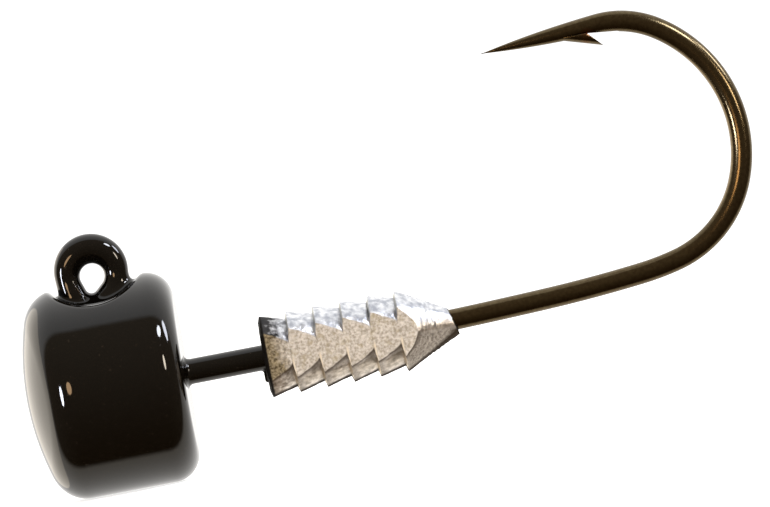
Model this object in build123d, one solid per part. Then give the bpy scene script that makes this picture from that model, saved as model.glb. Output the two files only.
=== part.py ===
"""Mushroom jig head: a lead ball head and a barbed lead bait keeper cast on one jig hook.

Millimetres. The origin is the centre of the head's flat rear face, on the axis of the shank.
+X runs along the shank towards the bend, +Z points up to the line eye and the hook point, and
the whole hook lies in the plane y = 0.
"""
from build123d import *
import math
import os

# ---- hook wire ----------------------------------------------------------------------------
WIRE_D = 1.03  # heavy wire of a size 1/0 jig hook
EYE_X = -3.53  # the eye is slightly taller than wide: two half turns joined by short straights
EYE_TOP_Z = 5.50  # centre of the upper half turn
EYE_STRAIGHT = 0.35  # between the upper and the lower half turn
EYE_TURN_R = 1.19  # to the centre of the wire
EYE_END_GAP_DEG = 20  # the cut end stops this far past the lowest point, against the stem
STEM_BEND_R = 2.0  # the right angle hidden in the head
SHANK_BEND_X = 6.74  # the shank is straight up to here, then starts to rise
# radius and turn in degrees of each arc from the shank round to the point
BEND_ARCS = ((268.0, 2.3), (71.0, 3.8), (12.9, 8.1), (5.28, 54.8), (6.5, 78.3))
POINT_ARC = (4.57, 36.4)  # the wire starts to thin in this last arc
SPEAR_LENGTH = 5.65  # straight part of the point
SPEAR_STATIONS = 12  # sections of the tapering point
SPEAR_FULLNESS = 2.5  # above 1 the outline bulges outwards, as a ground point does
SPEAR_TIP_D = 0.05
FORGED_THICKNESS = 0.90  # across the hook, where the bend is pressed flat
FORGED_X = 24.6  # middle of the pressed zone
FORGING_R = 120.0  # the pressed faces run out in an arc this large

# ---- barb, cut from the inner side of the point -------------------------------------------
BARB_HEEL = (20.6, 12.12)  # where the sliver leaves the point
BARB_TIP = (22.46, 11.56)
BARB_NOTCH = (21.76, 12.27)  # deepest point of the cut
BARB_NOTCH_END_X = 23.3
BARB_SLIVER_R = 0.42

# ---- head ---------------------------------------------------------------------------------
HEAD_D = 10.1  # over the coating
HEAD_LENGTH = 7.70
DOME_R = 12.9
DOME_EDGE_R = 1.3
REAR_EDGE_R = 1.0
SADDLE_R = 3.0  # scoop across the head that the line eye stands in
SADDLE_X = -3.8
SADDLE_Z = 7.0
SADDLE_LIP_R = 0.8

# ---- coating ------------------------------------------------------------------------------
COAT = 0.12  # on the casting
WIRE_COAT = 0.095  # on the eye and on the bare neck
NECK_FLARE_R = 0.28  # the coating gathers where the neck meets the head
EYE_WEB_R = 0.30  # and where the eye stands in the saddle

# ---- bait keeper --------------------------------------------------------------------------
KEEPER_FRONT_X = 3.89
KEEPER_PITCH = 1.31
KEEPER_BARBS = 5  # cones in front of the tail cone
KEEPER_D = 3.92  # over the sharp edge of each cone
KEEPER_VALLEY_D = 3.30  # behind each cone
KEEPER_STEP = 0.10  # the step up to the next cone leans forward by this much
KEEPER_TAIL_X = 12.98
KEEPER_TAIL_D = 1.30
KEEPER_FLAT = 3.20  # across the two flats
KEEPER_FRONT_LEAN = 3.6  # degrees, top edge back
KEEPER_TAIL_LEAN = 15.0  # degrees, top edge forward

REACH = 60.0  # longer than the whole part, for cutting tools


def tangent_run(start, heading, steps):
    """Edges of straights and left-hand arcs, each leaving along the end of the one before.

    A step is (radius, degrees) for an arc or (None, length) for a straight.
    """
    edges = []
    point = Vector(*start)
    tangent = Vector(math.cos(math.radians(heading)), math.sin(math.radians(heading)))
    for radius, amount in steps:
        if radius is None:
            edge = Line(point, point + tangent * amount)
        else:
            edge = JernArc(point, tangent, radius, amount)
        edges.append(edge)
        point = edge @ 1
        tangent = edge % 1
    return edges


def eye_steps():
    """The eye from its cut end, anticlockwise round to the top of the stem."""
    return [
        (EYE_TURN_R, 90 + EYE_END_GAP_DEG),
        (None, EYE_STRAIGHT),
        (EYE_TURN_R, 180),
    ]


def eye_start():
    """Centre of the wire at the cut end of the eye, in x and z."""
    past = math.radians(EYE_END_GAP_DEG)
    x = EYE_X - EYE_TURN_R * math.sin(past)
    z = EYE_TOP_Z - EYE_STRAIGHT - EYE_TURN_R * math.cos(past)
    return (x, z)


def wire_along(edges, diameter):
    """A round wire swept along edges drawn in x and z."""
    path = Plane.XZ * Wire(edges)
    section = Plane(origin=path @ 0, z_dir=path % 0) * Circle(diameter / 2)
    return sweep(section, path=path)


def hook_edges():
    """Centre line from the cut end of the eye to the start of the last arc."""
    stem = EYE_TOP_Z - STEM_BEND_R
    shank = SHANK_BEND_X - (EYE_X - EYE_TURN_R + STEM_BEND_R)
    steps = eye_steps() + [(None, stem), (STEM_BEND_R, 90), (None, shank)]
    steps += list(BEND_ARCS)
    return tangent_run(eye_start(), -EYE_END_GAP_DEG, steps)


def spear(start, tangent):
    """The tapering point: round sections lofted along the last arc and a straight."""
    heading = math.degrees(math.atan2(tangent.Y, tangent.X))
    edges = tangent_run((start.X, start.Y), heading, [POINT_ARC, (None, SPEAR_LENGTH)])
    path = Plane.XZ * Wire(edges)
    sections = []
    for k in range(SPEAR_STATIONS + 1):
        along = k / SPEAR_STATIONS
        diameter = max(WIRE_D * (1 - along ** SPEAR_FULLNESS), SPEAR_TIP_D)
        station = Plane(origin=path @ along, z_dir=path % along)
        sections.append(station * Circle(diameter / 2))
    return loft(sections)


def barb_sliver():
    """The raised barb: a rounded sliver that narrows to its tip."""
    outline = make_face(Polyline(BARB_HEEL, BARB_TIP, BARB_NOTCH, (BARB_HEEL[0], BARB_NOTCH[1]), close=True))
    blade = extrude(Plane.XZ * outline, WIRE_D, both=True)
    lean = math.atan2(BARB_TIP[1] - BARB_HEEL[1], BARB_TIP[0] - BARB_HEEL[0])
    centre_x = BARB_HEEL[0] - BARB_SLIVER_R * math.sin(lean)
    centre_z = BARB_HEEL[1] + BARB_SLIVER_R * math.cos(lean)
    along = Plane(origin=(centre_x, 0, centre_z), z_dir=(math.cos(lean), 0, math.sin(lean)))
    return blade & (along * Cylinder(BARB_SLIVER_R, REACH))


def barb_notch():
    """What the knife removed behind the barb."""
    outline = make_face(
        Polyline(
            BARB_NOTCH,
            (BARB_NOTCH_END_X, BARB_HEEL[1]),
            (BARB_NOTCH_END_X, BARB_TIP[1]),
            BARB_TIP,
            close=True,
        )
    )
    return extrude(Plane.XZ * outline, WIRE_D, both=True)


def forging_dies():
    """Two very large rollers that press the bend flat on both sides."""
    die = Pos(FORGED_X, FORGING_R + FORGED_THICKNESS / 2, 0) * Cylinder(FORGING_R, REACH)
    return die + mirror(die, about=Plane.XZ)


def make_hook():
    edges = hook_edges()
    body = wire_along(edges, WIRE_D)
    body += spear(edges[-1] @ 1, edges[-1] % 1)
    body -= barb_notch()
    body += barb_sliver()
    return body - forging_dies()


def head_body(inset):
    """Outside of the coated head, or with an inset the casting under the coating."""
    radius = HEAD_D / 2 - inset
    dome_r = DOME_R - inset
    apex = inset - HEAD_LENGTH
    rim = apex + dome_r - math.sqrt(dome_r ** 2 - radius ** 2)
    outline = make_face(
        [
            Line((apex, 0), (-inset, 0)),
            Line((-inset, 0), (-inset, radius)),
            Line((-inset, radius), (rim, radius)),
            RadiusArc((rim, radius), (apex, 0), -dome_r),
        ]
    )
    rear_corner = outline.vertices().sort_by_distance((-inset, radius))[0]
    outline = fillet(rear_corner, REAR_EDGE_R - inset)
    outline = fillet(outline.vertices().sort_by_distance((rim, radius))[0], DOME_EDGE_R - inset)
    body = Rot(180, 0, 0) * revolve(Plane.XZ * outline, Axis.X)
    body -= Pos(SADDLE_X, 0, SADDLE_Z) * Rot(90, 0, 0) * Cylinder(SADDLE_R + inset, REACH)
    lips = body.edges().filter_by(GeomType.BSPLINE)
    return fillet(lips, SADDLE_LIP_R - inset)


def leaning_slab(x, lean, side):
    """Everything beyond a cut across the shank at x, on the +X (1) or the -X (-1) side."""
    block = Pos(side * REACH / 2, 0, 0) * Box(REACH, REACH, REACH)
    return Pos(x, 0, 0) * Rot(0, lean, 0) * block


def keeper_body():
    """Stack of barbed cones with two flats, before the hook is cut out of it."""
    edge_r = KEEPER_D / 2
    valley_r = KEEPER_VALLEY_D / 2
    slope = (edge_r - valley_r) / (KEEPER_PITCH - KEEPER_STEP)
    run_out = KEEPER_PITCH / 4  # the end cones reach past the leaning end cuts
    outline = [(KEEPER_FRONT_X - run_out, 0), (KEEPER_FRONT_X - run_out, edge_r + slope * run_out)]
    for k in range(1, KEEPER_BARBS + 1):
        edge_x = KEEPER_FRONT_X + KEEPER_PITCH * k
        outline.append((edge_x - KEEPER_STEP, valley_r))
        outline.append((edge_x, edge_r))
    last_x = KEEPER_FRONT_X + KEEPER_PITCH * KEEPER_BARBS
    tail_slope = (edge_r - KEEPER_TAIL_D / 2) / (KEEPER_TAIL_X - last_x)
    outline.append((KEEPER_TAIL_X + run_out, KEEPER_TAIL_D / 2 - tail_slope * run_out))
    outline.append((KEEPER_TAIL_X + run_out, 0))
    body = revolve(Plane.XZ * make_face(Polyline(*outline, close=True)), Axis.X)
    body -= leaning_slab(KEEPER_FRONT_X, KEEPER_FRONT_LEAN, -1)
    body -= leaning_slab(KEEPER_TAIL_X, -KEEPER_TAIL_LEAN, 1)
    return body & Box(REACH, KEEPER_FLAT, REACH)


def eye_coat():
    """Coating round the eye and down the stem; it bridges the eye's cut end."""
    coated = WIRE_D + 2 * WIRE_COAT
    left = (EYE_X - EYE_TURN_R, EYE_TOP_Z - EYE_STRAIGHT)
    ring = tangent_run(left, -90, 2 * [(EYE_TURN_R, 180), (None, EYE_STRAIGHT)])
    stem = tangent_run(left, -90, [(None, left[1] - STEM_BEND_R)])
    return wire_along(ring, coated) + wire_along(stem, coated)


def coated_body():
    """Outside of everything the coating covers, gathered into the corners."""
    head = head_body(0)
    neck_length = STEM_BEND_R + KEEPER_FRONT_X + KEEPER_PITCH / 4
    neck = wire_along(tangent_run((-STEM_BEND_R, 0), 0, [(None, neck_length)]), WIRE_D + 2 * WIRE_COAT)
    body = head + neck
    body = fillet(new_edges(head, neck, combined=body), NECK_FLARE_R)
    eye = eye_coat()
    whole = body + eye
    return fillet(new_edges(body, eye, combined=whole), EYE_WEB_R)


def main():
    hook = make_hook()
    casting = head_body(COAT)
    keeper = keeper_body()
    coat = coated_body() - keeper - casting - hook
    parts = {
        "hook": hook,
        "head_weight": casting - hook,
        "bait_keeper": keeper - hook,
        "paint_coat": coat,
    }
    os.makedirs("parts", exist_ok=True)
    for name, shape in parts.items():
        shape.label = name
        export_step(shape, f"parts/{name}.step")


main()
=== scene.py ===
"""Looks of the ball jig head: thick gloss coating, bare cast lead keeper, smoky nickel hook.

Sizes are in millimetres and become metres where a mesh is made. +X runs along the shank, +Z up.
"""
import math
from types import SimpleNamespace

import bpy
import numpy as np
from mathutils import Matrix, Vector


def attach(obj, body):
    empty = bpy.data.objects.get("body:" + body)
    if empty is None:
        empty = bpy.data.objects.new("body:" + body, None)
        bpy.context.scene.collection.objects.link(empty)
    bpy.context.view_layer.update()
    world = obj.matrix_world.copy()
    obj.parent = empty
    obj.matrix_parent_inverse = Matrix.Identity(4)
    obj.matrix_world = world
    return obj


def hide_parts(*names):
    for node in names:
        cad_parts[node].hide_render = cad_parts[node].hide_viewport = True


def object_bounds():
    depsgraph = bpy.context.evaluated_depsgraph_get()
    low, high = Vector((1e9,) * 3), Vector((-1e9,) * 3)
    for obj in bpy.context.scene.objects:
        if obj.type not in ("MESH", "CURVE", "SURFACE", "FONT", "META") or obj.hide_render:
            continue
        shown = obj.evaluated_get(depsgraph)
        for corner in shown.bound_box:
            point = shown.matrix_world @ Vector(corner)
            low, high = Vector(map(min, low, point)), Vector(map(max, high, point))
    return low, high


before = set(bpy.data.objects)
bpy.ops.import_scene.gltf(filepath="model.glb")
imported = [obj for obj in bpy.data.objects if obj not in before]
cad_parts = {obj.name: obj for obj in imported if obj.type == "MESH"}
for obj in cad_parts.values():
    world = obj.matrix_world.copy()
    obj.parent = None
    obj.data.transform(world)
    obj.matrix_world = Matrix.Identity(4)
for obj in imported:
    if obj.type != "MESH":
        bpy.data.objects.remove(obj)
CAD_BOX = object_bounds()
MM = 0.001

# ---- hook wire, as the frame has it ---------------------------------------------------------
WIRE_R = 0.515
WIRE_POINTS = 48
WIRE_STEP = 0.10
EYE_X = -3.53
EYE_TOP_Z = 5.50
EYE_STRAIGHT = 0.35
EYE_TURN_R = 1.19
EYE_END_GAP = 20.0
STEM_BEND_R = 2.0
SHANK_BEND_X = 6.74
BEND_ARCS = ((268.0, 2.3), (71.0, 3.8), (12.9, 8.1), (5.28, 54.8), (6.5, 78.3), (4.57, 36.4))
SPEAR_LENGTH = 5.65
TAPER_LENGTH = 8.5  # the wire thins over this last stretch
TAPER_FULLNESS = 2.5
TIP_R = 0.02
FORGED_SQUEEZE = 0.12  # share of the width taken off across the hook in the middle of the bend
FORGED_X = 24.6
FORGED_HALF = 4.5
BARB_HEEL = (20.6, 12.12)
BARB_TIP = (22.46, 11.56)
BARB_NOTCH = (21.76, 12.27)
BARB_NOTCH_END = (23.3, 12.10)
BARB_R = 0.42

# ---- coated head ----------------------------------------------------------------------------
HEAD_R = 5.05
HEAD_LENGTH = 7.70
DOME_R = 12.9
DOME_SIDE_TURN = 1.28  # the dome curves this much faster from side to side than up and down
DOME_EDGE_R = 1.9
DOME_EDGE_COS = 0.9  # the sharpest meeting of dome and side that is rounded exactly
NEAR_AXIS = 0.01
REAR_EDGE_R = 1.3
REAR_LEAN = 0.02  # slope of the rear face, top back
SADDLE = (-3.53, 6.86)
SADDLE_R = 2.87
SADDLE_LIP_R = 0.6
SADDLE_LIP_COS = 0.72
COAT_THICKNESS = 0.12
# two circles (x, z, radius) each: the coated eye's outline and its hole are the hulls round them
EYE_OUTLINE = ((-3.54, 5.61, 1.77), (-3.55, 4.75, 1.72))
EYE_HOLE = ((-3.53, 5.36, 0.585), (-3.66, 4.86, 0.30))
EYE_WEB_X = (-5.2, -2.0)  # the coating gathers least at the front of the eye, most behind it
EYE_WEB_R = (0.22, 0.50)
EYE_BEAD = ((-4.44, 5.22), (-4.02, 4.10))  # a run of coating down the side of the eye
EYE_BEAD_R = 0.055
EYE_BEAD_END = 0.03  # share of its length where it stops thinning
EYE_BEAD_FULLNESS = 0.4
NECK_R = 0.61
NECK_FLARE_R = 0.28
NECK_END_X = 3.95
DRIP_Z = (-1.08, -0.5)  # a drip that set under the neck, against the keeper
DRIP_X = 3.76
DRIP_R = 0.13
SKIN_STEP = 0.085
CASTING_STEP = 0.15
SKIN_MARGIN = 0.3  # room round the coating in its grid
SLOPE_STEP = 0.004
SETTLE_ROUNDS = 3
LEAST_SLOPE = 0.25  # square of the smallest slope that a point is settled by

# ---- bait keeper ----------------------------------------------------------------------------
KEEPER_FRONT_X = 3.89
KEEPER_PITCH = 1.31
KEEPER_BARBS = 5
KEEPER_R = 1.96
VALLEY_R = 1.65
STEP_LEAN = 0.10
EDGE_ROUND = 0.05
TAIL_X = 12.98
TAIL_R = 0.65
TAIL_LEAN = 0.27  # slope of the end face, top forward
FLAT_Y = 1.60
FLAT_POINTS = 46
CAP_POINTS = 48
CONE_ROWS = 24
TAIL_ROWS = 64
RIPPLES = (11.25, 12.45)  # the mould left fine ripples on this stretch of the tail
RIPPLE_PITCH = 0.21
RIPPLE_HEIGHT = 0.016
LEAST_FLAT = 0.06  # radians kept for the flat where the cone is already inside it
VALLEY_TUCK = 0.985  # each end of a barb tucks in by this much, inside its neighbour

# ---- marks on the bare lead -----------------------------------------------------------------
LEAD_GRAIN = 0.12  # width of a grain of the sand, of a patch and of a blotch
LEAD_PATCH = 0.35
LEAD_BLOTCH = 0.9
LEAD_HEAD_END = 3.5  # the head's own casting lies ahead of this x and has no marks
STAIN_END = 5.8  # the stain reaches to this x, less up to STAIN_REACH along its ragged edge
STAIN_REACH = 1.6
SHADE_LOW = -0.05  # painted shade reaches down to this z, less up to the reach below along its ragged edge
SHADE_REACH = 1.4
SEAM_SHADE_HALF = 0.75  # painted shade along the mould's line reaches this far to each side of the bottom


def add(tree, kind, settings=None, inputs=None):
    """Add a node: its settings by name, its inputs by name or number as values or sockets to link."""
    made = tree.nodes.new(kind)
    for key, value in (settings or {}).items():
        setattr(made, key, value)
    for key, value in (inputs or {}).items():
        socket = made.inputs[key]
        if isinstance(value, bpy.types.NodeSocket):
            tree.links.new(value, socket)
        else:
            socket.default_value = value
    return made


def paint_hex(code):
    """Linear colour from an sRGB hex string."""
    channels = [int(code[k:k + 2], 16) / 255 for k in (1, 3, 5)]
    linear = [c / 12.92 if c <= 0.04045 else ((c + 0.055) / 1.055) ** 2.4 for c in channels]
    return (*linear, 1.0)


def per_metre(size):
    """Noise scale whose features are about this many millimetres wide."""
    return 1 / (size * MM)


def new_piece(name, points, faces, smooth=True):
    """A mesh object from points in millimetres."""
    mesh = bpy.data.meshes.new(name)
    mesh.from_pydata((np.asarray(points) * MM).tolist(), [], [list(f) for f in faces])
    mesh.polygons.foreach_set("use_smooth", np.full(len(mesh.polygons), smooth))
    mesh.update()
    piece = bpy.data.objects.new(name, mesh)
    bpy.context.scene.collection.objects.link(piece)
    return piece


# ---- solids as distance fields --------------------------------------------------------------
def round_cut(a, b, radius, square=0.0):
    """Where both solids are, with their shared edge rounded over.

    square is the cosine of the angle between the two surfaces' outward directions at the edge.
    """
    up = a + radius
    out = b + radius
    across = np.sqrt(np.maximum(up * up + out * out - 2 * square * up * out, 0))
    corner = across / np.sqrt(1 - square * square)
    at_corner = (up > square * out) & (out > square * up) & (up + out > 0)
    return np.where(at_corner, corner, np.maximum(up, out)) - radius


def round_join(a, b, radius):
    """Where either solid is, with the corner between them filled."""
    return -round_cut(-a, -b, radius)


def head_field(x, y, z):
    """Ball head with its flat rear face, shallow dome and the saddle across the top."""
    across = np.hypot(y, z)
    ahead = x + HEAD_LENGTH - DOME_R
    swollen = y * DOME_SIDE_TURN
    far = np.sqrt(ahead ** 2 + swollen ** 2 + z ** 2)
    steep = np.sqrt(ahead ** 2 + (swollen * DOME_SIDE_TURN) ** 2 + z ** 2)
    dome = (far - DOME_R) * far / steep
    facing = (swollen ** 2 + z ** 2) / (np.maximum(across, NEAR_AXIS) * steep)
    body = round_cut(across - HEAD_R, x - REAR_LEAN * z, REAR_EDGE_R)
    body = round_cut(body, dome, DOME_EDGE_R, np.minimum(facing, DOME_EDGE_COS))
    saddle = np.hypot(x - SADDLE[0], z - SADDLE[1]) - SADDLE_R
    return round_cut(body, -saddle, SADDLE_LIP_R, SADDLE_LIP_COS)


def wire_gap(x, y, z):
    """Distance to the hook wire where it lies in the head: stem, right-angle bend and shank."""
    stem_x = EYE_X - EYE_TURN_R
    bend_x = stem_x + STEM_BEND_R
    off_bend = np.abs(np.hypot(x - bend_x, z - STEM_BEND_R) - STEM_BEND_R)
    off_run = np.where(x > bend_x, np.abs(z), off_bend)
    aside = np.where(z > STEM_BEND_R, np.abs(x - stem_x), off_run)
    return np.hypot(aside, y) - WIRE_R


def casting_field(x, y, z):
    """Outside of the head's casting, under the coating, with the channel its wire fills."""
    return np.maximum(head_field(x, y, z) + COAT_THICKNESS, -wire_gap(x, y, z))


def hull_gap(x, z, top, bottom):
    """Distance in the plane of the hook to the hull round two circles, each (x, z, radius)."""
    length = math.hypot(bottom[0] - top[0], bottom[1] - top[1])
    step_x = (bottom[0] - top[0]) / length
    step_z = (bottom[1] - top[1]) / length
    along = (x - top[0]) * step_x + (z - top[1]) * step_z
    side = np.abs((x - top[0]) * step_z - (z - top[1]) * step_x)
    lean = (top[2] - bottom[2]) / length
    level = math.sqrt(1 - lean * lean)
    place = level * along - lean * side
    at_top = np.hypot(side, along) - top[2]
    at_bottom = np.hypot(side, along - length) - bottom[2]
    between = level * side + lean * along - top[2]
    return np.where(place < 0, at_top, np.where(place > level * length, at_bottom, between))


def eye_section(x, z):
    """Signed distance from the middle of the eye's ring, and half the ring's thickness there."""
    outline = hull_gap(x, z, *EYE_OUTLINE)
    hole = hull_gap(x, z, *EYE_HOLE)
    return (hole + outline) / 2, (hole - outline) / 2


def eye_field(x, y, z):
    """Coated eye: a ring, round in section, between its outline and its pear-shaped hole."""
    middle, half = eye_section(x, z)
    return np.hypot(middle, y) - half


def neck_field(x, y, z):
    """Coated wire from inside the head to the front of the keeper."""
    reach = np.abs(x - (NECK_END_X - 1) / 2) - (NECK_END_X + 1) / 2
    return np.maximum(np.hypot(y, z) - NECK_R, reach)


def drip_field(x, y, z):
    """The drip under the neck."""
    beyond = z - np.clip(z, *DRIP_Z)
    return np.sqrt((x - DRIP_X) ** 2 + y ** 2 + beyond ** 2) - DRIP_R


def coat_field(x, y, z):
    """Outside of the whole coating."""
    neck = round_join(neck_field(x, y, z), drip_field(x, y, z), DRIP_R)
    body = round_join(head_field(x, y, z), neck, NECK_FLARE_R)
    return round_join(body, eye_field(x, y, z), np.interp(x, EYE_WEB_X, EYE_WEB_R))


def field_slope(field, points):
    """Value and gradient of a field at loose points."""
    value = field(*points.T)
    slope = np.empty_like(points)
    for axis in range(3):
        step = np.zeros(3)
        step[axis] = SLOPE_STEP
        slope[:, axis] = (field(*(points + step).T) - field(*(points - step).T)) / (2 * SLOPE_STEP)
    return value, slope


def skin_of(name, field, low, high, step):
    """Closed quad mesh of a field's surface: one point per crossed cell, settled on the surface."""
    axes = [np.arange(a, b + step, step) for a, b in zip(low, high)]
    value = field(axes[0][:, None, None], axes[1][None, :, None], axes[2][None, None, :])
    inside = value < 0
    shape = np.array(value.shape)
    cells = []
    sums = np.zeros((3, value.size))
    count = np.zeros(value.size)
    for axis in range(3):
        near = np.moveaxis(inside, axis, 0)
        crossed = np.moveaxis(near[:-1] != near[1:], 0, axis)
        at = np.argwhere(crossed)
        ahead = at.copy()
        ahead[:, axis] += 1
        first = value[tuple(at.T)]
        second = value[tuple(ahead.T)]
        point = at.astype(float)
        point[:, axis] += first / (first - second)
        u = (axis + 1) % 3
        w = (axis + 2) % 3
        around = []
        for du, dw in ((0, 0), (-1, 0), (-1, -1), (0, -1)):
            cell = at.copy()
            cell[:, u] += du
            cell[:, w] += dw
            flat = np.ravel_multi_index(tuple(cell.T), shape)
            around.append(flat)
            count += np.bincount(flat, minlength=value.size)
            for k in range(3):
                sums[k] += np.bincount(flat, weights=point[:, k], minlength=value.size)
        quad = np.stack(around, axis=1)
        quad[first > 0] = quad[first > 0][:, ::-1]
        cells.append(quad)
    quads = np.concatenate(cells)
    used, faces = np.unique(quads, return_inverse=True)
    points = np.array(low) + step * (sums[:, used] / count[used]).T
    for _ in range(SETTLE_ROUNDS):
        off, slope = field_slope(field, points)
        points -= slope * (off / np.maximum((slope ** 2).sum(1), LEAST_SLOPE))[:, None]
    piece = new_piece(name, points, faces.reshape(quads.shape))
    normals = field_slope(field, points)[1]
    normals /= np.linalg.norm(normals, axis=1)[:, None]
    piece.data.normals_split_custom_set_from_vertices(normals.tolist())
    return piece


def eye_bead():
    """A thin run of coating down the front of the eye, thinning out at both ends."""
    stations = 18
    around = 10
    (top_x, top_z), (low_x, low_z) = EYE_BEAD
    points = []
    for k in range(stations):
        share = k / (stations - 1)
        x = top_x + (low_x - top_x) * share
        z = top_z + (low_z - top_z) * share
        middle, half = eye_section(np.array(x), np.array(z))
        y = -math.sqrt(max(float(half ** 2 - middle ** 2), 0))
        inner = min(max(share, EYE_BEAD_END), 1 - EYE_BEAD_END)
        radius = EYE_BEAD_R * math.sin(math.pi * inner) ** EYE_BEAD_FULLNESS
        for j in range(around):
            angle = 2 * math.pi * j / around
            points.append((x + radius * math.cos(angle), y + radius * math.sin(angle), z))
    faces = [tuple(range(around)), tuple((stations - 1) * around + j for j in range(around))[::-1]]
    for k in range(stations - 1):
        for j in range(around):
            a = k * around + j
            b = k * around + (j + 1) % around
            faces.append((a, a + around, b + around, b))
    return new_piece("eye_bead", points, faces)


# ---- the hook wire --------------------------------------------------------------------------
def wire_centre(step):
    """Points along the centre of the wire, from the cut end of the eye to the tip, in x and z."""
    past = math.radians(EYE_END_GAP)
    start_x = EYE_X - EYE_TURN_R * math.sin(past)
    start_z = EYE_TOP_Z - EYE_STRAIGHT - EYE_TURN_R * math.cos(past)
    shank = SHANK_BEND_X - (EYE_X - EYE_TURN_R + STEM_BEND_R)
    runs = [(EYE_TURN_R, 90 + EYE_END_GAP), (None, EYE_STRAIGHT), (EYE_TURN_R, 180)]
    runs += [(None, EYE_TOP_Z - STEM_BEND_R), (STEM_BEND_R, 90), (None, shank)]
    runs += [*BEND_ARCS, (None, SPEAR_LENGTH)]
    points = [(start_x, start_z)]
    heading = -past
    for radius, amount in runs:
        x, z = points[-1]
        if radius is None:
            count = max(2, round(amount / step))
            for k in range(1, count + 1):
                far = amount * k / count
                points.append((x + far * math.cos(heading), z + far * math.sin(heading)))
            continue
        turn = math.radians(amount)
        count = max(3, round(radius * turn / step))
        for k in range(1, count + 1):
            angle = heading + turn * k / count
            dx = radius * (math.sin(angle) - math.sin(heading))
            dz = radius * (math.cos(heading) - math.cos(angle))
            points.append((x + dx, z + dz))
        heading += turn
    return np.array(points)


def wire_curve():
    """The wire's centre as a curve whose point radius is the wire's own, tapering to the tip."""
    points = wire_centre(WIRE_STEP)
    gaps = np.hypot(*np.diff(points, axis=0).T)
    left = np.concatenate([np.cumsum(gaps[::-1])[::-1], [0]])
    taper = 1 - (1 - np.clip(left / TAPER_LENGTH, 0, 1)) ** TAPER_FULLNESS
    radii = np.maximum(WIRE_R * taper, TIP_R)
    data = bpy.data.curves.new("wire_centre", "CURVE")
    data.dimensions = "3D"
    spline = data.splines.new("POLY")
    spline.points.add(len(points) - 1)
    for target, (x, z), radius in zip(spline.points, points, radii):
        target.co = (x * MM, 0, z * MM, 1)
        target.radius = radius
    path = bpy.data.objects.new("wire_centre", data)
    bpy.context.scene.collection.objects.link(path)
    return path


def group_input(tree, name, kind, value):
    """A named input on a geometry group, with its starting value."""
    socket = tree.interface.new_socket(name=name, in_out="INPUT", socket_type=kind)
    if value is not None:
        socket.default_value = value
    return socket


def drawn_wire_tree(material):
    """Geometry group: sweeps a round section along the wire and squeezes the forged bend."""
    tree = bpy.data.node_groups.new("drawn_wire", "GeometryNodeTree")
    group_input(tree, "Geometry", "NodeSocketGeometry", None)
    group_input(tree, "Points Around", "NodeSocketInt", 48)
    group_input(tree, "Squeeze", "NodeSocketFloat", 0.0)
    group_input(tree, "Forged X", "NodeSocketFloat", 0.0)
    group_input(tree, "Forged Half Length", "NodeSocketFloat", 1.0)
    tree.interface.new_socket(name="Geometry", in_out="OUTPUT", socket_type="NodeSocketGeometry")
    given = add(tree, "NodeGroupInput").outputs
    run = add(tree, "GeometryNodeSplineParameter")
    kept = add(tree, "GeometryNodeStoreNamedAttribute", {"data_type": "FLOAT", "domain": "POINT"},
               {"Geometry": given["Geometry"], "Name": "wire_run", "Value": run.outputs["Length"]})
    circle = add(tree, "GeometryNodeCurvePrimitiveCircle", None,
                 {"Resolution": given["Points Around"], "Radius": MM})
    turn = add(tree, "GeometryNodeSplineParameter")
    section = add(tree, "GeometryNodeStoreNamedAttribute", {"data_type": "FLOAT", "domain": "POINT"},
                  {"Geometry": circle.outputs["Curve"], "Name": "wire_turn", "Value": turn.outputs["Factor"]})
    width = add(tree, "GeometryNodeInputRadius")
    swept = add(tree, "GeometryNodeCurveToMesh", None,
                {"Curve": kept.outputs["Geometry"], "Profile Curve": section.outputs["Geometry"],
                 "Scale": width.outputs["Radius"], "Fill Caps": True})
    place = add(tree, "GeometryNodeInputPosition")
    apart = add(tree, "ShaderNodeSeparateXYZ", None, {"Vector": place.outputs["Position"]})
    off = add(tree, "ShaderNodeMath", {"operation": "SUBTRACT"},
              {0: apart.outputs["X"], 1: given["Forged X"]})
    away = add(tree, "ShaderNodeMath", {"operation": "ABSOLUTE"}, {0: off.outputs[0]})
    share = add(tree, "ShaderNodeMapRange", {"interpolation_type": "SMOOTHSTEP"},
                {"Value": away.outputs[0], "From Min": given["Forged Half Length"], "From Max": 0.0,
                 "To Min": 0.0, "To Max": given["Squeeze"]})
    keep = add(tree, "ShaderNodeMath", {"operation": "SUBTRACT"}, {0: 1.0, 1: share.outputs["Result"]})
    thin = add(tree, "ShaderNodeMath", {"operation": "MULTIPLY"}, {0: apart.outputs["Y"], 1: keep.outputs[0]})
    pressed = add(tree, "ShaderNodeCombineXYZ", None,
                  {"X": apart.outputs["X"], "Y": thin.outputs[0], "Z": apart.outputs["Z"]})
    moved = add(tree, "GeometryNodeSetPosition", None,
                {"Geometry": swept.outputs["Mesh"], "Position": pressed.outputs["Vector"]})
    real = add(tree, "GeometryNodeRealizeInstances", None, {"Geometry": moved.outputs["Geometry"]})
    done = add(tree, "GeometryNodeSetMaterial", None,
               {"Geometry": real.outputs["Geometry"], "Material": material})
    add(tree, "NodeGroupOutput", None, {"Geometry": done.outputs["Geometry"]})
    return tree


def grown(name, source, tree, values):
    """Run a geometry group on an object and return its result as a plain mesh object."""
    modifier = source.modifiers.new("grow", "NODES")
    modifier.node_group = tree
    for item in tree.interface.items_tree:
        if item.in_out == "INPUT" and item.name in values:
            modifier[item.identifier] = values[item.name]
    bpy.context.view_layer.update()
    evaluated = source.evaluated_get(bpy.context.evaluated_depsgraph_get())
    mesh = bpy.data.meshes.new_from_object(evaluated)
    mesh.name = name
    source.modifiers.remove(modifier)
    bpy.data.objects.remove(source)
    piece = bpy.data.objects.new(name, mesh)
    bpy.context.scene.collection.objects.link(piece)
    return piece


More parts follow.
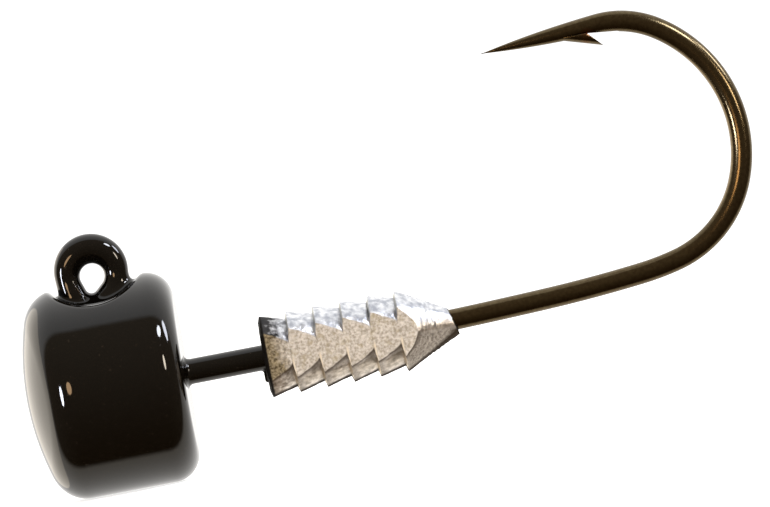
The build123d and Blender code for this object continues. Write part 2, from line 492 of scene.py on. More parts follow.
def sink_notch(piece):
    """Press the inner side of the point up to the line the barb's knife left."""
    mesh = piece.data
    co = np.empty(len(mesh.vertices) * 3)
    mesh.vertices.foreach_get("co", co)
    co = co.reshape(-1, 3) / MM
    along = (co[:, 0] - BARB_NOTCH[0]) / (BARB_NOTCH_END[0] - BARB_NOTCH[0])
    floor = BARB_NOTCH[1] + (BARB_NOTCH_END[1] - BARB_NOTCH[1]) * along
    cut = (along > 0) & (along < 1) & (co[:, 2] > BARB_TIP[1]) & (co[:, 2] < floor)
    co[cut, 2] = floor[cut]
    mesh.vertices.foreach_set("co", (co * MM).ravel())
    mesh.update()


def barb_sliver():
    """The raised barb: a rounded sliver lofted from inside the point to its own tip."""
    stations = 26
    arc_points = 15
    points = []
    for k in range(stations):
        share = k / (stations - 1)
        x = BARB_HEEL[0] - 0.5 + (BARB_TIP[0] - BARB_HEEL[0] + 0.5) * share
        low = BARB_HEEL[1] + (BARB_TIP[1] - BARB_HEEL[1]) * (x - BARB_HEEL[0]) / (BARB_TIP[0] - BARB_HEEL[0])
        back = (x - BARB_NOTCH[0]) / (BARB_TIP[0] - BARB_NOTCH[0])
        high = BARB_NOTCH[1] + (BARB_TIP[1] - BARB_NOTCH[1]) * max(0, back)
        low = min(low, high - 0.012)
        depth = min(high - low, BARB_R)
        half = math.acos(1 - depth / BARB_R)
        for j in range(arc_points):
            angle = -half + 2 * half * j / (arc_points - 1)
            points.append((x, BARB_R * math.sin(angle), low + BARB_R * (1 - math.cos(angle))))
        points[-arc_points] = (x, points[-arc_points][1], high)
        points[-1] = (x, points[-1][1], high)
    faces = []
    for k in range(stations - 1):
        for j in range(arc_points):
            a = k * arc_points + j
            b = k * arc_points + (j + 1) % arc_points
            faces.append((a, b, b + arc_points, a + arc_points))
    faces.append(tuple(range(arc_points))[::-1])
    faces.append(tuple((stations - 1) * arc_points + j for j in range(arc_points)))
    return new_piece("barb_sliver", points, [f[::-1] for f in faces])


def join_into(piece, extra):
    """Join a second mesh object into the first."""
    with bpy.context.temp_override(active_object=piece, selected_editable_objects=[piece, extra]):
        bpy.ops.object.join()


# ---- the bait keeper ------------------------------------------------------------------------
def flatted_ring(x, radius, lean=0.0):
    """Points once round a circle cut by two flats, with points exactly on the edges of the flats."""
    half = max(math.acos(min(1.0, FLAT_Y / radius)), LEAST_FLAT)
    side = np.linspace(-half, half, FLAT_POINTS)[:-1]
    cap = np.linspace(half, math.pi - half, CAP_POINTS)[:-1]
    angle = np.concatenate([side, cap, side + math.pi, cap + math.pi])
    reach = np.minimum(radius, FLAT_Y / np.maximum(np.abs(np.cos(angle)), 0.01))
    y = reach * np.cos(angle)
    z = reach * np.sin(angle)
    return np.stack([x + lean * z, y, z], axis=1)


def turned(name, profile):
    """Closed mesh through flatted rings; a profile row is (x, radius, lean)."""
    rings = [flatted_ring(*row) for row in profile]
    around = len(rings[0])
    first, last = rings[0].mean(0), rings[-1].mean(0)
    points = np.concatenate([*rings, [first], [last]])
    faces = []
    for k in range(len(rings) - 1):
        for j in range(around):
            a = k * around + j
            b = k * around + (j + 1) % around
            faces.append((a, b, b + around, a + around))
    start = len(rings) * around
    for j in range(around):
        nxt = (j + 1) % around
        faces.append((start, nxt, j))
        faces.append((start + 1, start - around + j, start - around + nxt))
    return new_piece(name, points, faces)


def barb_profile():
    """One barb of the keeper from its front face to just inside the next one."""
    rows = [(-STEP_LEAN * 0.6, VALLEY_R * VALLEY_TUCK, 0)]
    for share in np.linspace(0, 0.93, 6):
        rows.append((-STEP_LEAN * (1 - share), VALLEY_R + (KEEPER_R - VALLEY_R) * share, 0))
    rows.append((-0.005, KEEPER_R - 0.012, 0))
    rows.append((EDGE_ROUND * 0.5, KEEPER_R - 0.004, 0))
    cone_end = KEEPER_PITCH - STEP_LEAN
    for share in np.linspace(0.06, 1, CONE_ROWS):
        rows.append((cone_end * share, KEEPER_R + (VALLEY_R - KEEPER_R) * share, 0))
    rows.append((cone_end + 0.04, VALLEY_R * VALLEY_TUCK, 0))
    return rows


def tail_profile():
    """The tail cone, with fine ripples left by the mould and a leaning end face."""
    rows = barb_profile()[:9]
    start = KEEPER_FRONT_X + KEEPER_PITCH * KEEPER_BARBS
    length = TAIL_X - start
    for share in np.linspace(0.03, 1, TAIL_ROWS):
        x = start + length * share
        swell = math.sin(math.pi * min(max((x - RIPPLES[0]) / (RIPPLES[1] - RIPPLES[0]), 0), 1))
        ripple = RIPPLE_HEIGHT * swell * math.sin(2 * math.pi * x / RIPPLE_PITCH)
        radius = KEEPER_R + (TAIL_R - KEEPER_R) * share + ripple
        rows.append((length * share, radius, -TAIL_LEAN * share ** 4))
    rows.append((length + 0.01, TAIL_R * 0.9, -TAIL_LEAN))
    return rows


def keeper_tree(tail, material):
    """Geometry group: repeats one barb along the shank, adds the tail cone and the casting's lumps."""
    tree = bpy.data.node_groups.new("keeper_barbs", "GeometryNodeTree")
    group_input(tree, "Geometry", "NodeSocketGeometry", None)
    group_input(tree, "Barbs", "NodeSocketInt", 5)
    group_input(tree, "Front X", "NodeSocketFloat", 0.0)
    group_input(tree, "Pitch", "NodeSocketFloat", 0.001)
    group_input(tree, "Unevenness", "NodeSocketFloat", 0.01)
    group_input(tree, "Lump Height", "NodeSocketFloat", 0.0)
    group_input(tree, "Lump Scale", "NodeSocketFloat", 1.0)
    group_input(tree, "Grain Height", "NodeSocketFloat", 0.0)
    group_input(tree, "Grain Scale", "NodeSocketFloat", 1.0)
    group_input(tree, "Flat Y", "NodeSocketFloat", 1.0)
    group_input(tree, "Seed", "NodeSocketInt", 3)
    tree.interface.new_socket(name="Geometry", in_out="OUTPUT", socket_type="NodeSocketGeometry")
    given = add(tree, "NodeGroupInput").outputs
    start = add(tree, "ShaderNodeCombineXYZ", None, {"X": given["Front X"]})
    stride = add(tree, "ShaderNodeCombineXYZ", None, {"X": given["Pitch"]})
    line = add(tree, "GeometryNodeMeshLine", {"mode": "OFFSET"},
               {"Count": given["Barbs"], "Start Location": start.outputs["Vector"],
                "Offset": stride.outputs["Vector"]})
    low = add(tree, "ShaderNodeMath", {"operation": "MULTIPLY"}, {0: given["Unevenness"], 1: -1.0})
    spread = add(tree, "ShaderNodeCombineXYZ", None, {"X": 0.0, "Y": given["Unevenness"], "Z": 0.0})
    spread_low = add(tree, "ShaderNodeCombineXYZ", None, {"X": 0.0, "Y": low.outputs[0], "Z": 0.0})
    tilt = add(tree, "FunctionNodeRandomValue", {"data_type": "FLOAT_VECTOR"},
               {"Min": spread_low.outputs["Vector"], "Max": spread.outputs["Vector"], "Seed": given["Seed"]})
    barbs = add(tree, "GeometryNodeInstanceOnPoints", None,
                {"Points": line.outputs["Mesh"], "Instance": given["Geometry"],
                 "Rotation": tilt.outputs["Value"]})
    cone = add(tree, "GeometryNodeObjectInfo", None, {"Object": tail})
    both = add(tree, "GeometryNodeJoinGeometry")
    tree.links.new(barbs.outputs["Instances"], both.inputs["Geometry"])
    tree.links.new(cone.outputs["Geometry"], both.inputs["Geometry"])
    real = add(tree, "GeometryNodeRealizeInstances", None, {"Geometry": both.outputs["Geometry"]})
    noise = add(tree, "ShaderNodeTexNoise", None, {"Scale": given["Lump Scale"], "Detail": 3.0})
    even = add(tree, "ShaderNodeMath", {"operation": "SUBTRACT"}, {0: noise.outputs["Fac"], 1: 0.5})
    tall = add(tree, "ShaderNodeMath", {"operation": "MULTIPLY"},
               {0: even.outputs[0], 1: given["Lump Height"]})
    place = add(tree, "GeometryNodeInputPosition")
    apart = add(tree, "ShaderNodeSeparateXYZ", None, {"Vector": place.outputs["Position"]})
    side = add(tree, "ShaderNodeMath", {"operation": "ABSOLUTE"}, {0: apart.outputs["Y"]})
    inner = add(tree, "ShaderNodeMath", {"operation": "MULTIPLY"}, {0: given["Flat Y"], 1: 0.98})
    on_flat = add(tree, "ShaderNodeMapRange", None,
                  {"Value": side.outputs[0], "From Min": inner.outputs[0], "From Max": given["Flat Y"],
                   "To Min": 0.25})
    sand = add(tree, "ShaderNodeTexNoise", None, {"Scale": given["Grain Scale"], "Detail": 2.0})
    sand_even = add(tree, "ShaderNodeMath", {"operation": "SUBTRACT"}, {0: sand.outputs["Fac"], 1: 0.5})
    sand_tall = add(tree, "ShaderNodeMath", {"operation": "MULTIPLY"},
                    {0: sand_even.outputs[0], 1: given["Grain Height"]})
    rise = add(tree, "ShaderNodeMath", {"operation": "MULTIPLY_ADD"},
               {0: sand_tall.outputs[0], 1: on_flat.outputs["Result"], 2: tall.outputs[0]})
    normal = add(tree, "GeometryNodeInputNormal")
    push = add(tree, "ShaderNodeVectorMath", {"operation": "SCALE"},
               {0: normal.outputs["Normal"], "Scale": rise.outputs[0]})
    moved = add(tree, "GeometryNodeSetPosition", None,
                {"Geometry": real.outputs["Geometry"], "Offset": push.outputs["Vector"]})
    done = add(tree, "GeometryNodeSetMaterial", None,
               {"Geometry": moved.outputs["Geometry"], "Material": material})
    add(tree, "NodeGroupOutput", None, {"Geometry": done.outputs["Geometry"]})
    return tree


# ---- finishes -------------------------------------------------------------------------------
def finish_named(name):
    """A new material with its shader and output ready."""
    material = bpy.data.materials.new(name)
    material.use_nodes = True
    tree = material.node_tree
    tree.nodes.clear()
    shader = add(tree, "ShaderNodeBsdfPrincipled")
    add(tree, "ShaderNodeOutputMaterial", None, {"Surface": shader.outputs["BSDF"]})
    return material, tree, shader


def gloss_powder_coat():
    """Thick black powder coating baked to a wet gloss: near-black with a faint orange peel."""
    material, tree, shader = finish_named("gloss_black_powder_coat")
    place = add(tree, "ShaderNodeTexCoord").outputs["Object"]
    peel = add(tree, "ShaderNodeTexNoise", None, {"Vector": place, "Scale": per_metre(0.8), "Detail": 2.0})
    dust = add(tree, "ShaderNodeTexNoise", None, {"Vector": place, "Scale": per_metre(0.12), "Detail": 4.0})
    specks = add(tree, "ShaderNodeMapRange", None,
                 {"Value": dust.outputs["Fac"], "From Min": 0.66, "From Max": 0.76})
    colour = add(tree, "ShaderNodeMix", {"data_type": "RGBA"},
                 {"Factor": specks.outputs["Result"], 6: paint_hex("#070503"), 7: paint_hex("#2a221a")})
    bump = add(tree, "ShaderNodeBump", None,
               {"Height": peel.outputs["Fac"], "Strength": 0.10, "Distance": 0.03 * MM})
    rough = add(tree, "ShaderNodeMapRange", None,
                {"Value": specks.outputs["Result"], "To Min": 0.05, "To Max": 0.3})
    tree.links.new(colour.outputs[2], shader.inputs["Base Color"])
    tree.links.new(bump.outputs["Normal"], shader.inputs["Normal"])
    tree.links.new(rough.outputs["Result"], shader.inputs["Roughness"])
    shader.inputs["IOR"].default_value = 1.5
    return material


def smoky_nickel():
    """Black-nickel plated steel wire: a dark mirror with a bronze cast and fine draw lines."""
    material, tree, shader = finish_named("smoky_black_nickel")
    run = add(tree, "ShaderNodeAttribute", {"attribute_name": "wire_run"}).outputs["Fac"]
    turn = add(tree, "ShaderNodeAttribute", {"attribute_name": "wire_turn"}).outputs["Fac"]
    along = add(tree, "ShaderNodeMath", {"operation": "MULTIPLY"}, {0: run, 1: 350.0})
    about = add(tree, "ShaderNodeMath", {"operation": "MULTIPLY"}, {0: turn, 1: 60.0})
    where = add(tree, "ShaderNodeCombineXYZ", None, {"X": along.outputs[0], "Y": about.outputs[0]})
    lines = add(tree, "ShaderNodeTexNoise", None,
                {"Vector": where.outputs["Vector"], "Scale": 1.0, "Detail": 3.0})
    place = add(tree, "ShaderNodeTexCoord").outputs["Object"]
    mottle = add(tree, "ShaderNodeTexNoise", None, {"Vector": place, "Scale": per_metre(0.16), "Detail": 3.0})
    even = add(tree, "ShaderNodeMapRange", None,
               {"Value": mottle.outputs["Fac"], "From Min": 0.35, "From Max": 0.65})
    plated = add(tree, "ShaderNodeMix", {"data_type": "RGBA"},
                 {"Factor": even.outputs["Result"], 6: paint_hex("#5c4f3a"), 7: paint_hex("#6a5e46")})
    cut = (BARB_NOTCH[0] * MM, 0.0, BARB_NOTCH[1] * MM)
    gap = add(tree, "ShaderNodeVectorMath", {"operation": "DISTANCE"}, {0: place, 1: cut})
    bare = add(tree, "ShaderNodeMapRange", None,
               {"Value": gap.outputs["Value"], "From Min": 0.55 * MM, "From Max": 0.30 * MM})
    colour = add(tree, "ShaderNodeMix", {"data_type": "RGBA"},
                 {"Factor": bare.outputs["Result"], 6: plated.outputs[2], 7: paint_hex("#7a4a2e")})
    bump = add(tree, "ShaderNodeBump", None,
               {"Height": lines.outputs["Fac"], "Strength": 0.06, "Distance": 0.01 * MM})
    rough = add(tree, "ShaderNodeMapRange", None,
                {"Value": lines.outputs["Fac"], "To Min": 0.16, "To Max": 0.24})
    tree.links.new(colour.outputs[2], shader.inputs["Base Color"])
    tree.links.new(bump.outputs["Normal"], shader.inputs["Normal"])
    tree.links.new(rough.outputs["Result"], shader.inputs["Roughness"])
    shader.inputs["Metallic"].default_value = 1.0
    return material


def painted_over(tree, under, cover, share):
    """One colour laid over another by a share from 0 to 1."""
    mixed = add(tree, "ShaderNodeMix", {"data_type": "RGBA"}, {"Factor": share, 6: under, 7: cover})
    return mixed.outputs[2]


def share_between(tree, value, none_at, all_at, most=1.0):
    """0 where the value is at or before none_at, rising to most at all_at."""
    limits = {"Value": value, "From Min": none_at, "From Max": all_at, "To Max": most}
    return add(tree, "ShaderNodeMapRange", None, limits).outputs["Result"]


def both_of(tree, a, b):
    """Share of the surface that is in both of two masks."""
    return add(tree, "ShaderNodeMath", {"operation": "MULTIPLY"}, {0: a, 1: b}).outputs[0]


def either_of(tree, first, *others):
    """Share of the surface that is in any of the masks."""
    for other in others:
        first = add(tree, "ShaderNodeMath", {"operation": "MAXIMUM"}, {0: first, 1: other}).outputs[0]
    return first


def outside_of(tree, mask, most=1.0):
    """Share of the surface that is in none of a mask."""
    return share_between(tree, mask, 1.0, 0.0, most)


def waved(tree, along, noise, reach):
    """A measure pushed to and fro by a noise, so that an edge set by it is ragged."""
    parts = {0: noise, 1: reach, 2: along}
    return add(tree, "ShaderNodeMath", {"operation": "MULTIPLY_ADD"}, parts).outputs[0]


def mottle_of(tree, place, size, detail):
    """Noise whose features are about size millimetres wide."""
    sizes = {"Vector": place, "Scale": per_metre(size), "Detail": detail}
    return add(tree, "ShaderNodeTexNoise", None, sizes).outputs["Fac"]


def lead_places(tree):
    """Where on the casting a point is, as measures in metres and as masks."""
    at = SimpleNamespace()
    at.place = add(tree, "ShaderNodeTexCoord").outputs["Object"]
    apart = add(tree, "ShaderNodeSeparateXYZ", None, {"Vector": at.place})
    at.x = apart.outputs["X"]
    at.z = apart.outputs["Z"]
    at.side = add(tree, "ShaderNodeMath", {"operation": "ABSOLUTE"}, {0: apart.outputs["Y"]}).outputs[0]
    at.grain = mottle_of(tree, at.place, LEAD_GRAIN, 4.0)
    at.patch = mottle_of(tree, at.place, LEAD_PATCH, 3.0)
    at.blotch = mottle_of(tree, at.place, LEAD_BLOTCH, 3.0)
    at.speckle = share_between(tree, at.grain, 0.33, 0.67)
    at.patches = share_between(tree, at.patch, 0.36, 0.64)
    at.upper = share_between(tree, at.z, -0.2 * MM, 0.3 * MM)
    at.lower = share_between(tree, at.z, -0.15 * MM, -0.4 * MM)
    at.on_flat = share_between(tree, at.side, (FLAT_Y - 0.05) * MM, (FLAT_Y - 0.02) * MM)
    last_step = KEEPER_FRONT_X + KEEPER_PITCH * KEEPER_BARBS
    at.on_tail = share_between(tree, at.x, (last_step + 0.05) * MM, (last_step + 0.25) * MM)
    at.off_head = share_between(tree, at.x, (LEAD_HEAD_END - 0.1) * MM, LEAD_HEAD_END * MM)
    one_barb = {0: at.x, 1: (KEEPER_FRONT_X + KEEPER_PITCH) * MM, 2: KEEPER_FRONT_X * MM}
    at.in_barb = add(tree, "ShaderNodeMath", {"operation": "WRAP"}, one_barb).outputs[0]
    return at


def painted_shade_tone(tree, at):
    """Grey-brown painted shade with the grain of the casting in it."""
    return painted_over(tree, paint_hex("#5b5248"), paint_hex("#938a7d"), at.speckle)


def lead_ground(tree, at):
    """Sandy flats with olive patches; cones painted with light, bluish and bright above and warmer below, and
    painted shade under the tail.
    """
    sand = painted_over(tree, paint_hex("#928879"), paint_hex("#cbc2b6"), at.speckle)
    olive = share_between(tree, at.patch, 0.55, 0.72, 0.5)
    sand = painted_over(tree, sand, paint_hex("#93845f"), olive)
    # painted light: the cones are bluish and bright above, where the cool top light falls, and warmer below
    cone_in_cool_top_light = painted_over(tree, paint_hex("#b2b6c0"), paint_hex("#f5f7fb"), at.patches)
    cone_in_warm_low_light = painted_over(tree, paint_hex("#a39a8e"), paint_hex("#f0e6da"), at.patches)
    cone = painted_over(tree, cone_in_warm_low_light, cone_in_cool_top_light, at.upper)
    # painted shade: the tail's lower side is darkened, where it faces down away from the light
    shaded_low_tail = both_of(tree, at.on_tail, at.lower)
    cone = painted_over(tree, cone, painted_shade_tone(tree, at), shaded_low_tail)
    return painted_over(tree, cone, sand, at.on_flat), shaded_low_tail


def step_highlight_and_shade(tree, at, lead):
    """Painted highlight on the steps below, where they catch the light, and painted shade in olive above."""
    step = KEEPER_FRONT_X + KEEPER_PITCH - STEP_LEAN
    facing = share_between(tree, at.in_barb, (step - 0.01) * MM, (step + 0.01) * MM)
    on_step = both_of(tree, facing, outside_of(tree, at.on_tail))
    # painted highlight: a pale sliver low on each step, and painted shade in olive high on it
    lead = painted_over(tree, lead, paint_hex("#cfc1aa"), both_of(tree, on_step, at.lower))
    shaded = both_of(tree, on_step, share_between(tree, at.z, 0.9 * MM, 1.1 * MM, 0.7))
    return painted_over(tree, lead, paint_hex("#77745f"), shaded)


def painted_shade_under_flats(tree, at, lead):
    """Painted shade under the flats and behind each step."""
    # painted shade: darker below the flats' edge and just behind each step, on the lower half
    height = waved(tree, at.z, at.blotch, SHADE_REACH * MM)
    under_flat = share_between(tree, height, (SHADE_LOW - 0.3) * MM, SHADE_LOW * MM)
    behind = (KEEPER_FRONT_X + 0.1) * MM
    near_step = share_between(tree, at.in_barb, behind + 0.3 * MM, behind)
    sheltered = both_of(tree, either_of(tree, under_flat, near_step), at.lower)
    shade_under_flats = both_of(tree, sheltered, outside_of(tree, at.on_flat, 0.85))
    return painted_over(tree, lead, painted_shade_tone(tree, at), shade_under_flats), shade_under_flats


def front_stain(tree, at, lead):
    """The front barb, stained where the coating ran over it: black above, brown below and on the flats."""
    ragged = waved(tree, at.x, at.patch, STAIN_REACH * MM)
    stained = share_between(tree, ragged, STAIN_END * MM, (STAIN_END - 0.6) * MM, 0.95)
    stain = both_of(tree, stained, at.off_head)
    on_flats = painted_over(tree, paint_hex("#3a2e1c"), paint_hex("#8f8062"), at.speckle)
    below = painted_over(tree, paint_hex("#4a3d30"), paint_hex("#8b7f70"), at.patches)
    colour = painted_over(tree, paint_hex("#0b0704"), below, at.lower)
    colour = painted_over(tree, colour, on_flats, at.on_flat)
    return painted_over(tree, lead, colour, stain), stain


def painted_crease_and_seam_shade(tree, at, lead):
    """Painted shade in the creases beside the flats and along the mould's line at the bottom."""
    # painted shade in the creases beside the flats, on the lower half
    beside = share_between(tree, at.side, (FLAT_Y - 0.16) * MM, (FLAT_Y - 0.07) * MM, 0.8)
    beside = both_of(tree, beside, at.lower)
    crease_shade = add(tree, "ShaderNodeMath", {"operation": "SUBTRACT", "use_clamp": True},
                 {0: beside, 1: at.on_flat}).outputs[0]
    lead = painted_over(tree, lead, paint_hex("#3b2d1e"), crease_shade)
    # painted shade along the bottom, where the mould's line runs
    seam_shade = share_between(tree, at.side, SEAM_SHADE_HALF * MM, (SEAM_SHADE_HALF - 0.2) * MM)
    seam_shade = both_of(tree, seam_shade, at.lower)
    return painted_over(tree, lead, paint_hex("#2e2418"), seam_shade), crease_shade, seam_shade


def front_lap_and_mouth_shade(tree, at, lead):
    """Coating lapped round the front rim, and painted shade in the mouth where the wire leaves the tail."""
    front = share_between(tree, at.x, (KEEPER_FRONT_X + 0.14) * MM, (KEEPER_FRONT_X + 0.08) * MM)
    lap = both_of(tree, front, at.off_head)
    # painted shade in the mouth where the wire leaves the tail
    along = waved(tree, at.x, at.z, TAIL_LEAN)
    mouth_shade = share_between(tree, along, (TAIL_X - 0.05) * MM, (TAIL_X - 0.02) * MM)
    return painted_over(tree, lead, paint_hex("#0b0805"), either_of(tree, lap, mouth_shade))


def bare_lead():
    """Bare cast lead: sandy and matt on the flats, a dull mottled mirror on the cones.

    The front barb is stained and part painted where the coating lapped over it; painted shade lies under the
    flats, behind each step, beneath the tail, in the creases and along the mould's line, and the steps carry
    a painted highlight.
    """
    material, tree, shader = finish_named("bare_cast_lead")
    at = lead_places(tree)
    lead, shaded_low_tail = lead_ground(tree, at)
    lead = step_highlight_and_shade(tree, at, lead)
    lead, shade_under_flats = painted_shade_under_flats(tree, at, lead)
    lead, stain = front_stain(tree, at, lead)
    lead, crease_shade, seam_shade = painted_crease_and_seam_shade(tree, at, lead)
    lead = front_lap_and_mouth_shade(tree, at, lead)
    # whatever covers the metal, and the painted shade, is matt; soot in the stain and the painted shade along
    # the mould's line give no sheen at all
    dull = either_of(tree, at.on_flat, stain, shaded_low_tail, shade_under_flats, seam_shade, crease_shade)
    metal = add(tree, "ShaderNodeMapRange", None, {"Value": dull, "To Min": 0.95, "To Max": 0.0})
    rough = add(tree, "ShaderNodeMapRange", None, {"Value": dull, "To Min": 0.30, "To Max": 0.70})
    soot_and_seam_shade = either_of(tree, stain, seam_shade)
    sheen = add(tree, "ShaderNodeMapRange", None, {"Value": soot_and_seam_shade, "To Min": 0.5, "To Max": 0.1})
    bump = add(tree, "ShaderNodeBump", None, {"Height": at.grain, "Strength": 0.5, "Distance": 0.04 * MM})
    tree.links.new(lead, shader.inputs["Base Color"])
    tree.links.new(sheen.outputs["Result"], shader.inputs["Specular IOR Level"])
    tree.links.new(metal.outputs["Result"], shader.inputs["Metallic"])
    tree.links.new(bump.outputs["Normal"], shader.inputs["Normal"])
    tree.links.new(rough.outputs["Result"], shader.inputs["Roughness"])
    return material


def pale_floor_finish():
    """Matt white light table: its own glow melts it into the white surroundings."""
    material, _, shader = finish_named("opal_light_table")
    shader.inputs["Base Color"].default_value = paint_hex("#f4f3f1")
    shader.inputs["Roughness"].default_value = 0.9
    shader.inputs["Emission Color"].default_value = (1, 1, 1, 1)
    shader.inputs["Emission Strength"].default_value = 0.75
    return material


# ---- making the pieces ----------------------------------------------------------------------
def make_coat():
    """The whole coating with the run beside the eye, in one piece."""
    eye_top = EYE_OUTLINE[0][1] + EYE_OUTLINE[0][2]
    low = (-HEAD_LENGTH - SKIN_MARGIN, -HEAD_R - SKIN_MARGIN, -HEAD_R - SKIN_MARGIN)
    high = (NECK_END_X + SKIN_MARGIN, HEAD_R + SKIN_MARGIN, eye_top + SKIN_MARGIN)
    finish = gloss_powder_coat()
    coat = skin_of("coating_skin", coat_field, low, high, SKIN_STEP)
    coat.data.materials.append(finish)
    bead = eye_bead()
    bead.data.materials.append(finish)
    join_into(coat, bead)
    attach(coat, "root")
    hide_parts("paint_coat")


def make_hook():
    """The wire from its cut end in the eye to the point, with the notch and the raised barb."""
    finish = smoky_nickel()
    sizes = {"Points Around": WIRE_POINTS, "Squeeze": FORGED_SQUEEZE, "Forged X": FORGED_X * MM,
             "Forged Half Length": FORGED_HALF * MM}
    hook = grown("hook_wire", wire_curve(), drawn_wire_tree(finish), sizes)
    sink_notch(hook)
    barb = barb_sliver()
    barb.data.materials.append(finish)
    join_into(hook, barb)
    hook.data.polygons.foreach_set("use_smooth", np.full(len(hook.data.polygons), True))
    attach(hook, "root")
    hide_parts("hook")


def make_keeper(finish):
    """The keeper's casting: five barbs and the tail cone."""
    tail = turned("keeper_tail", tail_profile())
    last_x = KEEPER_FRONT_X + KEEPER_PITCH * KEEPER_BARBS
    tail.data.transform(Matrix.Translation((last_x * MM, 0, 0)))
    sizes = {"Barbs": KEEPER_BARBS, "Front X": KEEPER_FRONT_X * MM, "Pitch": KEEPER_PITCH * MM,
             "Unevenness": 0.012, "Lump Height": 0.06 * MM, "Lump Scale": per_metre(0.5),
             "Grain Height": 0.06 * MM, "Grain Scale": per_metre(0.13), "Flat Y": FLAT_Y * MM, "Seed": 5}
    barb = turned("keeper_barb", barb_profile())
    keeper = grown("keeper_casting", barb, keeper_tree(tail, finish), sizes)
    bpy.data.objects.remove(tail)
    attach(keeper, "root")
    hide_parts("bait_keeper")


def make_casting(finish):
    """The casting under the coating, a coat's thickness inside it."""
    low = (-HEAD_LENGTH - CASTING_STEP, -HEAD_R - CASTING_STEP, -HEAD_R - CASTING_STEP)
    high = (2 * CASTING_STEP, HEAD_R + CASTING_STEP, HEAD_R + CASTING_STEP)
    casting = skin_of("head_casting", casting_field, low, high, CASTING_STEP)
    casting.data.materials.append(finish)
    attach(casting, "root")
    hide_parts("head_weight")


# ---- studio ---------------------------------------------------------------------------------
CAMERA_AIM = (10.37, 3.78)  # x and z the camera looks at
CAMERA_ROLL = 10.85  # degrees, the shank rises to the right
VIEW_WIDTH = 36.67  # at the plane of the hook
LENS = 300.0
FLOOR_HALF = 3000.0
LAMP_DISTANCE = 800.0
TENT_EDGE = 0.22  # how far back the tent's walls begin, level with the part
TENT_LOW = 0.42  # above and below they begin further forward
TENT_LEAN = 0.145  # and further forward above than below
TENT_BLUR = 0.08
TENT_DEPTH = 0.8  # from its edge the wall brightens over this stretch
# linear light of the tent, low down and high up
WALL_LOW = (0.88, 0.80, 0.68, 1)
WALL_HIGH = (0.84, 0.84, 0.84, 1)
WALL_DEEP = (1.25, 1.23, 1.20, 1)
OPEN_LOW = (0.058, 0.034, 0.015, 1)
OPEN_HIGH = (0.30, 0.25, 0.19, 1)
BACKDROP = (1.3, 1.3, 1.3, 1)


def make_camera():
    """A long lens that faces the side of the hook."""
    data = bpy.data.cameras.new("camera")
    data.lens = LENS
    camera = bpy.data.objects.new("camera", data)
    bpy.context.scene.collection.objects.link(camera)
    away = VIEW_WIDTH * LENS / data.sensor_width
    place = Matrix.Translation((CAMERA_AIM[0] * MM, -away * MM, CAMERA_AIM[1] * MM))
    upright = Matrix.Rotation(math.radians(90), 4, "X")
    camera.matrix_world = place @ upright @ Matrix.Rotation(-math.radians(CAMERA_ROLL), 4, "Z")
    bpy.context.scene.camera = camera


def make_floor():
    """The light table, level with the lowest point of the part."""
    z = CAD_BOX[0][2] / MM
    corners = [(FLOOR_HALF * a, FLOOR_HALF * b, z) for a, b in ((-1, -1), (1, -1), (1, 1), (-1, 1))]
    floor = new_piece("floor", corners, [(0, 1, 2, 3)])
    floor.data.materials.append(pale_floor_finish())
    floor.visible_glossy = False


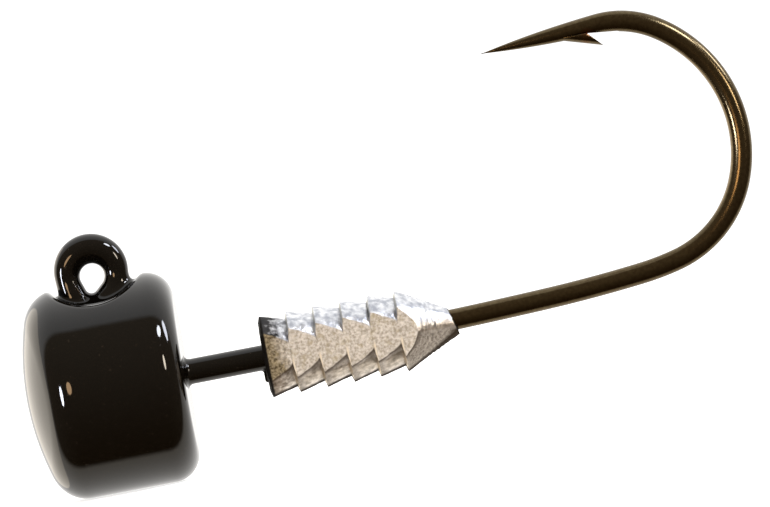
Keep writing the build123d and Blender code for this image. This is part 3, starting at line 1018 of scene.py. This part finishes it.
def make_sky():
    """A light tent, open and dim in front, wider than it is tall."""
    world = bpy.data.worlds.new("studio")
    bpy.context.scene.world = world
    world.use_nodes = True
    tree = world.node_tree
    tree.nodes.clear()
    towards = add(tree, "ShaderNodeTexCoord").outputs["Generated"]
    apart = add(tree, "ShaderNodeSeparateXYZ", None, {"Vector": towards})
    square = add(tree, "ShaderNodeMath", {"operation": "MULTIPLY"},
                 {0: apart.outputs["Z"], 1: apart.outputs["Z"]})
    tall = add(tree, "ShaderNodeMath", {"operation": "MULTIPLY_ADD"},
               {0: square.outputs[0], 1: TENT_LOW, 2: apart.outputs["Y"]})
    edge = add(tree, "ShaderNodeMath", {"operation": "MULTIPLY_ADD"},
               {0: apart.outputs["Z"], 1: TENT_LEAN, 2: tall.outputs[0]})
    wall = add(tree, "ShaderNodeMapRange", {"interpolation_type": "SMOOTHSTEP"},
               {"Value": edge.outputs[0], "From Min": TENT_EDGE - TENT_BLUR,
                "From Max": TENT_EDGE + TENT_BLUR})
    deep = share_between(tree, edge.outputs[0], TENT_EDGE, TENT_EDGE + TENT_DEPTH)
    height = share_between(tree, apart.outputs["Z"], -1.0, 1.0)
    near = painted_over(tree, WALL_LOW, WALL_HIGH, height)
    bright = painted_over(tree, near, WALL_DEEP, deep)
    dim = painted_over(tree, OPEN_LOW, OPEN_HIGH, height)
    shade = painted_over(tree, dim, bright, wall.outputs["Result"])
    glow = add(tree, "ShaderNodeBackground", None, {"Color": shade}).outputs["Background"]
    plain = add(tree, "ShaderNodeBackground", None, {"Color": BACKDROP}).outputs["Background"]
    seen = add(tree, "ShaderNodeLightPath")
    mixed = add(tree, "ShaderNodeMixShader", None, {0: seen.outputs["Is Camera Ray"], 1: glow, 2: plain})
    add(tree, "ShaderNodeOutputWorld", None, {"Surface": mixed.outputs["Shader"]})


def make_lamp(name, direction, size, watts, colour):
    """A soft lamp, wide by tall, that faces the middle of the part."""
    data = bpy.data.lights.new(name, "AREA")
    data.shape = "ELLIPSE"
    data.size = size[0] * MM
    data.size_y = size[1] * MM
    data.energy = watts
    data.color = paint_hex(colour)[:3]
    lamp = bpy.data.objects.new(name, data)
    bpy.context.scene.collection.objects.link(lamp)
    target = Vector((CAMERA_AIM[0] * MM, 0, 0))
    away = Vector(direction).normalized()
    lamp.location = target + away * LAMP_DISTANCE * MM
    lamp.rotation_euler = away.to_track_quat("Z", "Y").to_euler()


def light_studio():
    """The tent, and lamps for the glints on the coating and the light along the wire."""
    make_sky()
    # the cool streak and the warm spot on the left of the head, and its pale front
    make_lamp("left_window", (-0.82, -0.56, 0.0), (120, 220), 2.8, "#eef2ff")
    make_lamp("side_panel", (-0.75, 0.66, 0.0), (800, 1200), 2.4, "#fff0d8")
    make_lamp("key_lamp", (-0.42, -0.90, 0.12), (230, 180), 0.8, "#ffd2a0")
    # the glints on the right of the head and round the eye
    make_lamp("top_lamp", (0.62, -0.40, 0.68), (220, 160), 2.2, "#f2f6ff")
    make_lamp("right_lamp", (0.72, -0.65, 0.22), (110, 200), 1.0, "#fff0dc")
    make_lamp("far_right_lamp", (0.86, -0.03, 0.52), (160, 260), 1.8, "#eef2ff")
    bpy.context.scene.view_settings.view_transform = "Standard"


make_coat()
make_hook()
lead = bare_lead()
make_keeper(lead)
make_casting(lead)
make_camera()
make_floor()
light_studio()
